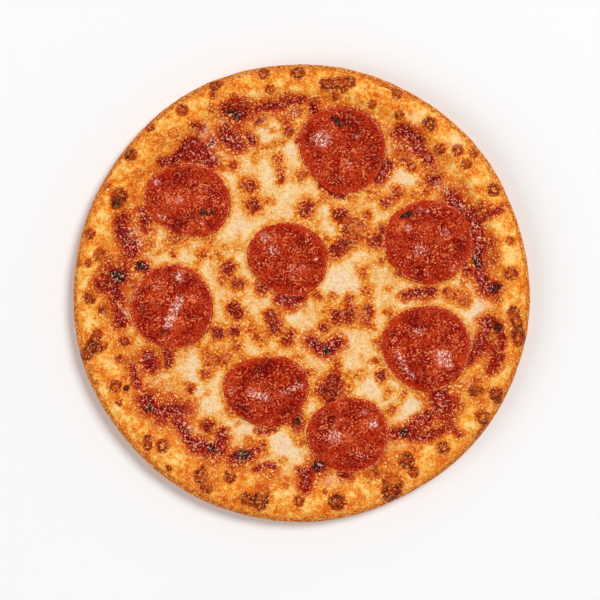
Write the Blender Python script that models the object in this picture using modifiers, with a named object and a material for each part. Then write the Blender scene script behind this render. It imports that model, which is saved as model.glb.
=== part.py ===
"""A whole round pepperoni pizza, about 250 mm across, lying on its flat base.

Frame: metres, +Z up, origin at the middle of the base. +Y is the far side of
the pizza seen from above, +X its right side.

From the bottom up: the baked dough base with its raised rim, a thin layer of
tomato sauce, the melted cheese, and eight slices of pepperoni that lie on the
cheese and follow it. Every layer keeps a hair of clearance to the next one.
"""
import math

import bpy

MM = 0.001

# ---------------------------------------------------------------- sizes, in mm
PIZZA_RADIUS = 125.0        # middle of the outer edge
FLOOR_TOP = 7.0             # top of the dough under the toppings
RIM_HEIGHT = 16.4           # mean height of the rim's crest
RIM_CREST_RADIUS = 113.0    # where the crest runs
RIM_FOOT_RADIUS = 97.0      # where the rim starts to rise from the floor
SIDE_HEIGHT = 6.8           # height of the widest line of the side
BASE_RADIUS = 117.0         # edge of the flat resting face

CLEARANCE = 0.34            # gap between one layer and the next
SAUCE_THICKNESS = 1.0
SAUCE_EDGE = 0.45           # sauce thickness at its own edge
SAUCE_RADIUS = 103.4
CHEESE_THICKNESS = 2.7
CHEESE_EDGE = 0.8
CHEESE_RADIUS = 107.4

SLICE_THICKNESS = 1.7
SLICE_CUP = 1.0             # how far a slice's edge curls up

RING_SEGMENTS = 60
SLICE_SEGMENTS = 20

# Each slice: centre x, y, then its radius to the east, north-east, north and
# so on round the compass, all in mm. The slices were cut a little oval and
# they shrank unevenly in the oven.
SLICES = {
    "pepperoni_1": (22.3, 77.8, (23.6, 24.0, 24.0, 25.1, 23.6, 21.6, 24.4, 23.5)),
    "pepperoni_2": (-62.2, 50.5, (24.1, 21.7, 19.9, 21.2, 24.1, 19.4, 19.9, 22.9)),
    "pepperoni_3": (68.9, 27.6, (24.4, 24.3, 22.8, 24.1, 24.4, 22.9, 22.8, 23.4)),
    "pepperoni_4": (-7.6, 18.7, (22.2, 20.2, 20.2, 21.7, 22.1, 18.6, 20.6, 22.2)),
    "pepperoni_5": (-70.5, -7.4, (22.6, 22.8, 23.4, 22.5, 22.6, 23.1, 23.2, 23.4)),
    "pepperoni_6": (67.6, -29.9, (24.9, 24.6, 23.4, 23.5, 24.8, 22.7, 24.0, 23.8)),
    "pepperoni_7": (-19.3, -53.2, (24.0, 21.8, 19.2, 20.7, 24.4, 19.5, 20.8, 21.2)),
    "pepperoni_8": (25.3, -77.0, (21.9, 22.2, 20.0, 21.0, 22.4, 20.7, 20.4, 22.4)),
}


# ------------------------------------------------------------- shape functions
def smooth(t):
    """0 below 0, 1 above 1, and an even S between them."""
    t = min(1.0, max(0.0, t))
    return t * t * (3.0 - 2.0 * t)


def waves(angle, terms):
    """A closed, uneven line round the pizza: amplitude, count and phase."""
    return sum(a * math.cos(n * angle + p) for a, n, p in terms)


def rim_height(angle):
    return RIM_HEIGHT + waves(
        angle, ((0.45, 2, 0.6), (0.40, 3, 2.1), (0.35, 5, 4.0), (0.25, 8, 1.2))
    )


def outline_shift(angle):
    """How far the outer edge lies out of a true circle."""
    return waves(angle, ((0.20, 2, 3.7), (0.35, 3, 0.8), (0.30, 5, 2.2), (0.20, 9, 0.4)))


def dough_top(r, angle):
    """Height of the dough's upper face, out to the rim's crest."""
    rise = smooth((r - RIM_FOOT_RADIUS) / (RIM_CREST_RADIUS - RIM_FOOT_RADIUS))
    return FLOOR_TOP + (rim_height(angle) - FLOOR_TOP) * rise


def sauce_radius(angle):
    return SAUCE_RADIUS + waves(
        angle, ((0.9, 3, 0.3), (0.8, 7, 2.5), (0.5, 11, 4.4))
    )


def cheese_radius(angle):
    return CHEESE_RADIUS + waves(
        angle, ((0.8, 4, 1.1), (0.8, 6, 3.0), (0.6, 9, 5.2))
    )


def sauce_thickness(r, angle):
    edge = sauce_radius(angle)
    if r <= edge:
        thin = smooth((r - (edge - 5.0)) / 5.0)
        return SAUCE_THICKNESS + (SAUCE_EDGE - SAUCE_THICKNESS) * thin
    return SAUCE_EDGE * (1.0 - smooth((r - edge) / 3.0))


def sauce_bottom(r, angle):
    return dough_top(r, angle) + CLEARANCE


def sauce_top(r, angle):
    return sauce_bottom(r, angle) + sauce_thickness(r, angle)


def cheese_bottom(r, angle):
    return sauce_top(r, angle) + CLEARANCE


def cheese_top(r, angle):
    x, y = r * math.cos(angle), r * math.sin(angle)
    swell = 0.22 * math.sin(x / 9.5 + 0.7) * math.cos(y / 11.0) + 0.16 * math.sin(
        y / 8.5 + x / 15.0 + 2.0
    )
    thin = smooth((r - (cheese_radius(angle) - 7.0)) / 7.0)
    thickness = (CHEESE_THICKNESS + swell) * (1.0 - thin) + CHEESE_EDGE * thin
    return cheese_bottom(r, angle) + thickness


def slice_radius(radii, angle):
    """A smooth closed outline through the eight compass radii."""
    n = len(radii)
    total = sum(radii) / n
    for k in range(1, n // 2):
        c = 2.0 / n * sum(v * math.cos(k * i * math.tau / n) for i, v in enumerate(radii))
        s = 2.0 / n * sum(v * math.sin(k * i * math.tau / n) for i, v in enumerate(radii))
        total += c * math.cos(k * angle) + s * math.sin(k * angle)
    return total


# ------------------------------------------------------------ modelling helpers
def paint(obj, name, colour, roughness):
    material = bpy.data.materials.new(name)
    material.use_nodes = True
    shader = material.node_tree.nodes["Principled BSDF"]
    shader.inputs["Base Color"].default_value = (*colour, 1.0)
    shader.inputs["Roughness"].default_value = roughness
    shader.inputs["Metallic"].default_value = 0.0
    obj.data.materials.clear()
    obj.data.materials.append(material)


def turned(name, profile, segments, collection):
    """The profile, (radius, height) in mm from the top of the axis round the
    outside to its foot, turned about Z and made a plain mesh object."""
    line = bpy.data.meshes.new(name + "_profile")
    line.from_pydata(
        [(r * MM, 0.0, z * MM) for r, z in profile],
        [(i, i + 1) for i in range(len(profile) - 1)],
        [],
    )
    guide = bpy.data.objects.new(name + "_profile", line)
    collection.objects.link(guide)
    screw = guide.modifiers.new("Turn", "SCREW")
    screw.axis = "Z"
    screw.angle = math.tau
    screw.steps = segments
    screw.render_steps = segments
    screw.use_merge_vertices = True
    screw.merge_threshold = 0.00002
    screw.use_smooth_shade = True
    bpy.context.view_layer.update()
    graph = bpy.context.evaluated_depsgraph_get()
    mesh = bpy.data.meshes.new_from_object(guide.evaluated_get(graph))
    mesh.name = name
    obj = bpy.data.objects.new(name, mesh)
    collection.objects.link(obj)
    bpy.data.objects.remove(guide)
    bpy.data.meshes.remove(line)
    return obj


def reshape(obj, rule):
    """Moves each vertex: rule takes and gives radius, angle and height in mm."""
    for vertex in obj.data.vertices:
        x, y, z = (c / MM for c in vertex.co)
        r, angle = math.hypot(x, y), math.atan2(y, x)
        r, z = rule(r, angle, z)
        vertex.co = (r * MM * math.cos(angle), r * MM * math.sin(angle), z * MM)
    obj.data.update()
    obj.data.shade_smooth()
    obj.data.set_sharp_from_angle(angle=math.radians(50))


# ----------------------------------------------------------------------- pieces
def make_crust(collection):
    """Flat floor, rising inner slope, rounded crest, bulging side."""
    span = RIM_CREST_RADIUS - RIM_FOOT_RADIUS
    top = [(r, FLOOR_TOP) for r in (0.0, 40.0, 75.0, RIM_FOOT_RADIUS)]
    for i in range(1, 9):
        r = RIM_FOOT_RADIUS + span * i / 8
        top.append((r, FLOOR_TOP + (RIM_HEIGHT - FLOOR_TOP) * smooth(i / 8)))
    side = []
    for i in range(1, 6):  # crest to the widest line
        a = math.radians(90.0 - 90.0 * i / 5)
        side.append(
            (
                RIM_CREST_RADIUS + (PIZZA_RADIUS - RIM_CREST_RADIUS) * math.cos(a) ** 0.92,
                SIDE_HEIGHT + (RIM_HEIGHT - SIDE_HEIGHT) * math.sin(a) ** 0.92,
            )
        )
    for i in range(1, 5):  # widest line in to the resting face
        a = math.radians(90.0 * i / 4)
        side.append(
            (
                BASE_RADIUS + (PIZZA_RADIUS - BASE_RADIUS) * math.cos(a),
                SIDE_HEIGHT * (1.0 - math.sin(a)),
            )
        )
    bottom = [(60.0, 0.0), (0.0, 0.0)]
    obj = turned("crust", top + side + bottom, RING_SEGMENTS, collection)

    def rule(r, angle, z):
        if z > FLOOR_TOP:
            z = FLOOR_TOP + (z - FLOOR_TOP) * (rim_height(angle) - FLOOR_TOP) / (
                RIM_HEIGHT - FLOOR_TOP
            )
        out = smooth((r - RIM_CREST_RADIUS) / 6.0)
        return r + outline_shift(angle) * out, z

    reshape(obj, rule)
    return obj


def make_layer(name, shares, radius, bottom, top, collection):
    """A sheet between two height functions, out to an uneven edge. shares are
    the rings' places from the middle (0) to the edge (1)."""
    profile = [(100.0 * s, 10.0) for s in shares]
    profile += [(100.0 * s, 0.0) for s in reversed(shares)]
    obj = turned(name, profile, RING_SEGMENTS, collection)

    def rule(r, angle, z):
        r = r / 100.0 * radius(angle)
        return r, (top if z > 5.0 else bottom)(r, angle)

    reshape(obj, rule)
    return obj


def make_slice(name, x, y, radii, collection):
    """A round slice that follows the cheese, with its edge curled up a little."""
    shares = (0.0, 0.34, 0.66, 0.88, 1.0)
    profile = [(20.0 * s, 10.0) for s in shares]
    profile += [(20.0 * s, 0.0) for s in reversed(shares)]
    obj = turned(name, profile, SLICE_SEGMENTS, collection)
    for vertex in obj.data.vertices:
        u, v, side = (c / MM for c in vertex.co)
        share, angle = math.hypot(u, v) / 20.0, math.atan2(v, u)
        reach = share * slice_radius(radii, angle)
        px, py = x + reach * math.cos(angle), y + reach * math.sin(angle)
        z = cheese_top(math.hypot(px, py), math.atan2(py, px)) + CLEARANCE
        z += SLICE_CUP * smooth((share - 0.45) / 0.55)
        if side > 5.0:
            z += SLICE_THICKNESS
        # the piece stands at its own origin, the middle of its underside
        vertex.co = ((px - x) * MM, (py - y) * MM, z * MM)
    obj.location = (x * MM, y * MM, 0.0)
    obj.data.update()
    obj.data.shade_smooth()
    obj.data.set_sharp_from_angle(angle=math.radians(50))
    return obj


def main():
    for obj in list(bpy.data.objects):
        bpy.data.objects.remove(obj, do_unlink=True)
    pizza = bpy.data.collections.new("pepperoni_pizza")
    bpy.context.scene.collection.children.link(pizza)

    crust = make_crust(pizza)
    paint(crust, "baked_dough", (0.72, 0.36, 0.09), 0.75)

    sauce = make_layer(
        "sauce",
        (0.0, 0.45, 0.8, 0.935, 0.955, 0.978, 1.0),
        sauce_radius,
        sauce_bottom,
        sauce_top,
        pizza,
    )
    paint(sauce, "tomato_sauce", (0.33, 0.03, 0.01), 0.35)

    cheese = make_layer(
        "cheese",
        (0.0, 0.22, 0.44, 0.63, 0.79, 0.90, 0.925, 0.95, 0.975, 1.0),
        cheese_radius,
        cheese_bottom,
        cheese_top,
        pizza,
    )
    paint(cheese, "melted_cheese", (0.87, 0.62, 0.30), 0.4)

    for name, (x, y, radii) in SLICES.items():
        piece = make_slice(name, x, y, radii, pizza)
        paint(piece, name + "_meat", (0.45, 0.035, 0.012), 0.35)


main()
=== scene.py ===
"""Looks of a whole pepperoni pizza, lying flat and seen from straight above.

The crust, the sauce, the cheese and each pepperoni slice are height fields
worked out here over the solids' own shapes. Where a blister, a streak of sauce
or a burnt spot lies is given by its place in the photograph's frame; its shape
and colour come from the functions below. Lengths are in mm until a mesh is made.
"""

import math

import bpy
import numpy as np
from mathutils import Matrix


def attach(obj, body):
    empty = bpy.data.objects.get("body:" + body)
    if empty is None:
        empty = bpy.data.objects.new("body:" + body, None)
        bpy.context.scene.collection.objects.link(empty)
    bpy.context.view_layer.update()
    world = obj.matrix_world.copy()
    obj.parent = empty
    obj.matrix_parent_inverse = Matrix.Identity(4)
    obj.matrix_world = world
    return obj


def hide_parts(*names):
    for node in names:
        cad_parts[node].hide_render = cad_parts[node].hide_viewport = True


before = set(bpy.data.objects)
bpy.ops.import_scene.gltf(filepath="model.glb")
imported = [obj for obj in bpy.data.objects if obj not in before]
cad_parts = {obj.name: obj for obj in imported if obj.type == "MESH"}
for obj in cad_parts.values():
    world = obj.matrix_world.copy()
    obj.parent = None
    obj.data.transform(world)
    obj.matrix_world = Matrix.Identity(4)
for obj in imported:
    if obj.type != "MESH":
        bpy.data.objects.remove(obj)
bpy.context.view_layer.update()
MM = 0.001

# ------------------------------------------------- sizes of the solids, in mm
FLOOR_TOP = 7.0
RIM_HEIGHT = 16.4
RIM_CREST_RADIUS = 113.0
RIM_FOOT_RADIUS = 97.0
PIZZA_RADIUS = 125.0
SIDE_HEIGHT = 6.8
BASE_RADIUS = 117.0
LAYERS = 4.38               # sauce, cheese and their clearances, over the dough
SLICES = {
    "pepperoni_1": (22.3, 77.8, (23.6, 24.0, 24.0, 25.1, 23.6, 21.6, 24.4, 23.5)),
    "pepperoni_2": (-62.2, 50.5, (24.1, 21.7, 19.9, 21.2, 24.1, 19.4, 19.9, 22.9)),
    "pepperoni_3": (68.9, 27.6, (24.4, 24.3, 22.8, 24.1, 24.4, 22.9, 22.8, 23.4)),
    "pepperoni_4": (-7.6, 18.7, (22.2, 20.2, 20.2, 21.7, 22.1, 18.6, 20.6, 22.2)),
    "pepperoni_5": (-70.5, -7.4, (22.6, 22.8, 23.4, 22.5, 22.6, 23.1, 23.2, 23.4)),
    "pepperoni_6": (67.6, -29.9, (24.9, 24.6, 23.4, 23.5, 24.8, 22.7, 24.0, 23.8)),
    "pepperoni_7": (-19.3, -53.2, (24.0, 21.8, 19.2, 20.7, 24.4, 19.5, 20.8, 21.2)),
    "pepperoni_8": (25.3, -77.0, (21.9, 22.2, 20.0, 21.0, 22.4, 20.7, 20.4, 22.4)),
}

# ------------------------------------- the photograph's frame, 600 x 600 pixels
PX = 0.5459                 # mm to a pixel
MID_X, MID_Y = 301.3, 293.2 # the pizza's middle


def from_photo(px, py):
    return (px - MID_X) * PX, (MID_Y - py) * PX


# Browned blisters on the cheese: x, y, radius in pixels, depth of browning.
# Six numbers make a long one: both ends, then radius and depth.
CHEESE_BLISTERS = (
    (233, 165, 5, .75), (249, 186, 7, .85), (253, 206, 7, .85), (278, 158, 5, .7),
    (281, 172, 281, 180, 4, .62), (301, 176, 5, .75), (306, 209, 8, .85),
    (270, 200, 4, .4), (289, 132, 5, .86), (271, 131, 3, .4), (275, 114, 3, .6),
    (340, 215, 7, .85), (349, 228, 6, .8), (358, 228, 7, .9), (367, 215, 4, .7),
    (336, 251, 344, 245, 7, .95), (363, 273, 5.5, .62), (381, 262, 4, .6),
    (374, 243, 6, .85), (379, 236, 382, 229, 4, .8), (398, 192, 6, .8),
    (386, 203, 5, .75), (411, 167, 5, .62), (434, 178, 8, .88), (426, 193, 3, .6),
    (317, 225, 3, .4), (326, 238, 3, .5), (202, 254, 5.5, .6), (218, 254, 3, .5),
    (239, 248, 4, .42), (228, 269, 7, .85), (239, 284, 5.5, .88), (222, 281, 3.5, .55),
    (173, 254, 3, .5), (160, 252, 3, .45), (173, 239, 5.5, .7), (261, 286, 5.5, .78),
    (317, 296, 4, .72), (333, 295, 4, .55), (349, 298, 4.5, .7), (353, 307, 4, .6),
    (366, 291, 5, .66), (338, 317, 348, 316, 7, .85), (368, 310, 5, .85),
    (364, 321, 6, .74), (324, 328, 5, .82), (389, 312, 5, .5), (336, 360, 5, .66),
    (377, 343, 4, .6), (375, 360, 3.2, .6), (392, 409, 4, .55), (309, 373, 4, .5),
    (233, 308, 238, 314, 6.4, .93), (218, 333, 6, .95), (235, 331, 5.5, .9),
    (251, 328, 5, .45), (272, 317, 275, 325, 7.5, .86), (288, 341, 6, .88),
    (263, 342, 4, .5), (292, 332, 3.5, .5), (236, 347, 4.5, .74), (224, 359, 6, .86),
    (210, 360, 5, .7), (205, 374, 5, .76), (192, 388, 4, .86), (208, 394, 2.5, .4),
    (167, 356, 167, 362, 6, .86), (150, 362, 6.5, .88), (132, 364, 6, .76),
    (125, 341, 5, .7), (104, 310, 4.5, .68), (116, 295, 6, .85), (209, 426, 7, .93),
    (262, 447, 5, .84), (282, 460, 4.5, .5), (332, 391, 9.5, .92), (337, 381, 4, .75),
    (296, 416, 297, 425, 6, .93), (373, 471, 5, .8), (448, 293, 5.5, .78),
    (461, 296, 5.5, .84), (403, 155, 6, .95), (259, 119, 6, .85), (388, 288, 4, .4),
    (397, 275, 4, .4), (404, 393, 3.5, .45), (390, 391, 3.5, .42), (225, 247, 3, .45),
    (305, 312, 3, .3), (325, 309, 4, .35), (250, 440, 5, .55), (465, 303, 4, .6),
    (188, 407, 8, .9), (119, 358, 3, .7), (346, 473, 5, .72), (244, 395, 1, .3),
    (355, 243, 4, .5), (196, 268, 3, .3), (300, 234, 1, .3), (362, 355, 2, .25),
    (301, 357, 4, .35), (270, 352, 5, .35), (243, 355, 5, .36), (256, 336, 4, .35),
    (372, 329, 3, .35), (350, 388, 4, .35), (240, 226, 3, .22), (239, 234, 3, .25),
    (260, 147, 283, 142, 3, .5), (284, 121, 298, 111, 4.5, .5), (297, 140, 3, .6),
    (203, 350, 7, .42), (387, 395, 5, .26), (400, 399, 5, .26), (350, 374, 5, .3),
    (255, 158, 5, .4), (150, 240, 4, .4), (418, 396, 4, .5), (186, 386, 3, .3),
    (381, 376, 4.6, .94), (299, 441, 6, .45), (415, 195, 6, .5), (325, 199, 5, .5),
    (352, 198, 5, .42), (375, 194, 6, .5), (186, 243, 6, .45), (149, 248, 5, .5),
    (211, 240, 4, .5), (265, 293, 5, .6), (361, 374, 6, .34), (182, 352, 8, .28),
    (178, 383, 8, .3), (231, 413, 5, .4), (214, 163, 5, .7), (323, 390, 6, .8),
    (335, 375, 6, .7), (496, 361, 7, .75), (390, 412, 4, .5),
)

# Brown blisters on the rim: the same, and 1 at the end for one that is lighter
# in its middle.
RIM_BLISTERS = (
    (183, 111, 6, .75, 1), (150, 127, 5, .68, 0), (131, 155, 6.5, .88, 0),
    (107, 186, 5, .5, 1), (120, 196, 8, .76, 0), (118, 204, 6, .98, 0),
    (124, 212, 4, .7, 0), (214, 87, 5.5, .8, 0), (220, 84, 4, .7, 0),
    (213, 96, 4, .7, 0), (264, 74, 6, .78, 0), (298, 74, 7, .8, 1),
    (325, 86, 349, 83, 6, .8, 0), (344, 92, 3, .7, 0), (270, 90, 5, .7, 0),
    (234, 99, 5, .75, 0), (380, 84, 391, 88, 2, .6, 0), (397, 94, 5.5, .82, 1),
    (372, 105, 5, .55, 0), (335, 97, 4, .7, 0), (399, 116, 5, .66, 0),
    (429, 125, 7, .84, 0), (439, 150, 6, .75, 0), (457, 151, 6, .75, 0),
    (473, 154, 5, .7, 0), (466, 165, 5, .7, 0), (493, 190, 6.5, .84, 1),
    (508, 205, 4, .6, 0), (509, 241, 4.5, .6, 1), (510, 274, 7, .76, 1),
    (512, 312, 516, 324, 6, .78, 0), (517, 335, 519, 339, 7.5, .85, 0),
    (497, 328, 6, .95, 0), (495, 394, 7, .86, 0), (497, 400, 4, .85, 0),
    (475, 390, 7, .88, 0), (482, 416, 7.5, .72, 1), (486, 424, 479, 437, 4, .74, 0),
    (442, 447, 6.5, .8, 1), (406, 460, 8, .88, 0), (413, 471, 5.5, .76, 0),
    (392, 481, 391, 492, 9.5, .9, 0), (337, 501, 8.5, .87, 0), (325, 491, 3, .55, 0),
    (299, 500, 5.5, .74, 1), (262, 492, 260, 502, 7.5, .88, 0), (247, 498, 7, .78, 0),
    (230, 476, 6, .84, 0), (201, 474, 207, 486, 6.5, .84, 0), (203, 466, 2, .7, 0),
    (169, 468, 3.5, .72, 0), (149, 438, 148, 446, 4.5, .78, 0), (163, 445, 6.5, .78, 1),
    (146, 455, 3, .6, 0), (120, 401, 4, .6, 1), (116, 386, 6.5, .72, 1),
    (127, 388, 2.6, 1., 0), (134, 383, 4.5, .86, 0), (98, 334, 95, 342, 5.5, .76, 0),
    (93, 346, 86, 355, 6.5, .84, 0), (100, 349, 4, .6, 0), (91, 297, 6.5, .88, 0),
    (79, 263, 4, .68, 0), (90, 263, 4, .72, 0), (101, 255, 6.5, .78, 0),
    (91, 234, 5.5, .74, 0), (159, 140, 8, .26, 0), (174, 134, 6, .3, 0),
    (139, 174, 6, .3, 0), (212, 109, 5, .45, 0), (384, 458, 4, .6, 0),
    (518, 300, 3, .25, 0), (98, 382, 3, .4, 0), (412, 97, 3, .5, 0),
    (461, 432, 4, .62, 0), (105, 345, 4, .55, 0), (102, 287, 6, .76, 0),
)

# Streaks where the sauce lies bare: width in pixels, strength, then the line.
SAUCE_STREAKS = (
    (6, .9, (260, 109), (275, 106), (290, 101), (303, 100)),
    (10, 1., (228, 110), (236, 115), (243, 112)), (10, 1., (226, 133), (238, 146)),
    (5, .8, (250, 137), (255, 145)), (5, .7, (206, 150), (214, 140)),
    (7, .95, (162, 163), (172, 160), (183, 153), (187, 144), (195, 141)),
    (6, .7, (195, 126), (199, 127)), (7, .8, (312, 106), (314, 114)),
    (9, .95, (403, 130), (415, 137), (419, 148), (427, 159)),
    (9, .95, (378, 178), (388, 165)), (12, 1., (450, 196), (458, 205), (467, 213)),
    (10, 1., (472, 216), (477, 232), (478, 262), (482, 280), (486, 290), (494, 288)),
    (9, 1., (488, 323), (482, 338), (476, 352)),
    (9, .9, (484, 323), (490, 320), (497, 327)), (7, .85, (404, 296), (418, 293), (431, 291)),
    (10, .98, (311, 341), (318, 347), (328, 350), (338, 343)),
    (9, .95, (281, 299), (290, 301), (300, 297)),
    (16, 1., (439, 397), (443, 406)), (9, .95, (430, 415), (420, 421), (406, 431)),
    (6, .72, (433, 433), (441, 430), (450, 426), (457, 433)),
    (12, 1., (317, 466), (321, 465)), (8, .9, (306, 472), (305, 487)),
    (5, .6, (298, 469), (303, 474)), (5, .75, (256, 469), (267, 464), (274, 466)),
    (10, 1., (236, 456), (249, 455)), (5, .7, (252, 452), (259, 449)),
    (12, .98, (146, 400), (150, 408)), (10, .95, (152, 410), (165, 412), (178, 408)),
    (8, .9, (177, 418), (183, 428), (188, 438), (194, 448)),
    (11, 1., (196, 444), (208, 449), (220, 449)), (9, .95, (221, 440), (223, 434)),
    (10, .95, (119, 314), (120, 322)), (14, 1., (116, 276), (121, 276)),
    (9, .85, (114, 286), (117, 300)), (9, .85, (100, 286), (110, 287)),
    (8, 1., (139, 266), (144, 266)), (7, .8, (146, 268), (149, 275)),
    (9, .95, (121, 222), (124, 240), (133, 252)), (4, .6, (146, 214), (150, 222)),
    (5, .75, (340, 474), (350, 475)), (6, .7, (133, 366), (138, 388)),
    (8, .95, (394, 434), (405, 433)), (5, .85, (321, 186), (330, 192), (342, 196)),
    (6, .9, (141, 210), (146, 219)), (5, .8, (463, 262), (467, 271)),
    (6, .8, (410, 437), (425, 437), (438, 433)), (5, .8, (481, 222), (492, 213), (501, 207)),
    (10, .95, (149, 358), (151, 366)), (6, .85, (502, 336), (500, 346)),
    (7, .8, (497, 357), (494, 366)), (4, .75, (256, 431), (275, 431)),
    (12, .62, (192, 152), (204, 154), (210, 161)), (6, .9, (476, 352), (470, 362)),
)

# Places where the cheese is thin and the sauce reddens it: x, y, radius, depth.
REDDENED = (
    (135, 238, 17, .55), (130, 215, 12, .5), (126, 260, 12, .55), (108, 278, 14, .7),
    (120, 300, 12, .5), (137, 378, 9, .6), (160, 395, 17, .42), (172, 396, 8, .6),
    (162, 422, 11, .55), (190, 412, 12, .5), (211, 141, 15, .5), (238, 130, 14, .55),
    (250, 108, 14, .45), (283, 100, 12, .45), (318, 104, 9, .45), (395, 137, 11, .65),
    (412, 140, 12, .55), (436, 167, 10, .5), (465, 188, 9, .25), (484, 209, 9, .7),
    (491, 243, 10, .68), (493, 258, 9, .75), (497, 300, 7, .42), (491, 350, 12, .72),
    (488, 370, 8, .7), (500, 356, 6, .7), (476, 380, 8, .5), (480, 402, 9, .5),
    (455, 402, 9, .55), (430, 428, 12, .5), (448, 420, 10, .5), (396, 455, 8, .4),
    (384, 462, 10, .5), (392, 474, 10, .5), (308, 478, 12, .5), (270, 474, 12, .48),
    (285, 483, 8, .5), (262, 486, 9, .5), (236, 465, 10, .5), (215, 465, 9, .4),
    (214, 478, 10, .45), (346, 478, 9, .5), (368, 475, 7, .5), (355, 246, 7, .3),
    (360, 316, 9, .35), (210, 364, 9, .45), (227, 355, 9, .4), (170, 165, 10, .5),
    (190, 155, 14, .95), (206, 160, 9, .95), (178, 162, 9, .9), (200, 145, 9, .9),
    (229, 138, 12, .9), (248, 138, 9, .6), (238, 106, 11, .7), (135, 285, 7, .5),
    (131, 302, 7, .5), (128, 322, 6, .5),
    (190, 146, 10, .5), (200, 130, 9, .5), (345, 345, 1, .3), (168, 240, 7, .4),
    (355, 228, 9, .35), (426, 294, 12, .4), (455, 295, 12, .38), (150, 360, 12, .4),
    (140, 350, 8, .3), (110, 262, 10, .5), (290, 303, 14, .35), (380, 168, 10, .5),
    (408, 152, 9, .5), (268, 105, 10, .4), (230, 150, 8, .4), (147, 290, 6, .3),
    (146, 224, 11, .9), (154, 231, 7, .5), (222, 166, 6, .55), (398, 148, 8, .5),
    (492, 345, 8, .5), (498, 338, 6, .5), (262, 430, 7, .3), (303, 444, 5, .5),
    (468, 275, 6, .6), (416, 433, 8, .5), (232, 414, 5, .4), (212, 156, 6, .8),
    (175, 166, 8, .75), (402, 147, 10, .75), (228, 409, 5, .5), (238, 422, 5, .4),
    (215, 161, 7, .7), (463, 281, 5, .6), (460, 385, 6, .6),
)

# Pale, thick cheese and bright spots on the rim: x, y, radius, strength.
PALE = (
    (268, 128, 11, .95), (288, 148, 12, .8), (405, 180, 11, .8), (455, 141, 8, .9),
    (415, 120, 8, .8), (350, 364, 9, .6), (285, 446, 15, .9), (340, 283, 16, .9),
    (355, 288, 12, .8), (290, 312, 11, .7), (247, 425, 10, .8), (197, 434, 7, .7),
    (415, 404, 12, .8), (404, 412, 9, .7), (480, 306, 11, .9), (474, 286, 7, .7),
    (205, 405, 12, .7), (190, 380, 10, .7), (190, 360, 12, .6), (240, 228, 11, .7),
    (190, 245, 11, .7), (155, 247, 6, .7), (133, 231, 6, .6), (126, 310, 6, .5),
    (126, 286, 5, .5), (331, 477, 10, .8), (372, 388, 11, .7), (472, 248, 3, .8),
    (448, 390, 7, .6), (345, 203, 7, .4), (260, 229, 6, .5), (330, 225, 6, .5),
    (298, 366, 5, .4), (265, 300, 8, .6), (310, 405, 7, .5), (472, 345, 4, .5),
    (346, 340, 9, 1.), (355, 330, 5, .6), (238, 262, 6, .7), (325, 212, 7, .8),
    (197, 393, 8, .8), (243, 322, 5, .6), (264, 176, 7, .6), (394, 398, 8, .7),
)
BRIGHT_RIM = (
    (93, 250, 9, .9), (88, 277, 8, .7), (92, 318, 10, .9), (111, 364, 13, 1.),
    (135, 400, 9, .5), (150, 425, 9, .9), (180, 455, 11, .9), (216, 469, 7, .9),
    (283, 496, 10, .9), (312, 503, 9, .9), (252, 480, 7, .8), (360, 484, 12, .8),
    (351, 491, 7, .8), (430, 448, 10, .9), (449, 437, 9, .9), (467, 425, 8, .8),
    (425, 462, 10, .6), (465, 400, 7, .7), (505, 372, 9, .7), (513, 290, 8, .5),
    (503, 303, 8, .8), (510, 255, 10, .8), (494, 225, 9, .9), (480, 178, 9, .7),
    (456, 139, 11, 1.), (418, 112, 9, .8), (360, 93, 9, .8), (312, 90, 8, .7),
    (282, 84, 7, .8), (247, 83, 8, .7), (196, 106, 9, .8), (163, 122, 7, .6),
    (147, 150, 8, .7), (113, 172, 7, .7), (104, 214, 8, .9), (100, 235, 6, .7),
    (505, 345, 5, .6), (488, 410, 5, .5), (320, 78, 7, .5), (438, 112, 7, .5),
    (128, 182, 6, .6), (109, 202, 5, .6), (515, 301, 9, .9), (101, 268, 7, .8),
    (291, 91, 6, .8), (255, 95, 6, .7), (163, 441, 6, .6), (104, 392, 8, .6),
    (114, 223, 7, .8), (101, 277, 6, .8), (122, 177, 6, .7), (413, 122, 8, .8),
    (441, 138, 8, 1.), (466, 184, 7, .9), (452, 170, 7, .7), (119, 408, 8, .7),
    (136, 424, 8, .7), (103, 380, 7, .7), (464, 141, 6, .9),
)

# Whitish, half clear places between the streaks: x, y, radius, strength.
MILKY = (
    (206, 132, 7, .85), (212, 144, 6, .9), (216, 158, 4, .8), (222, 122, 6, .4),
    (134, 232, 6, .8), (139, 243, 6, .8), (140, 291, 5, .8), (133, 300, 5, .6),
    (126, 313, 6, .7), (186, 428, 7, .7), (178, 414, 4, .5), (446, 190, 6, .7),
    (438, 186, 5, .4), (470, 340, 5, .6), (468, 384, 5, .3), (300, 452, 6, .3),
    (292, 112, 6, .4), (262, 94, 5, .3), (390, 150, 5, .3), (148, 256, 5, .5),
)


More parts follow.
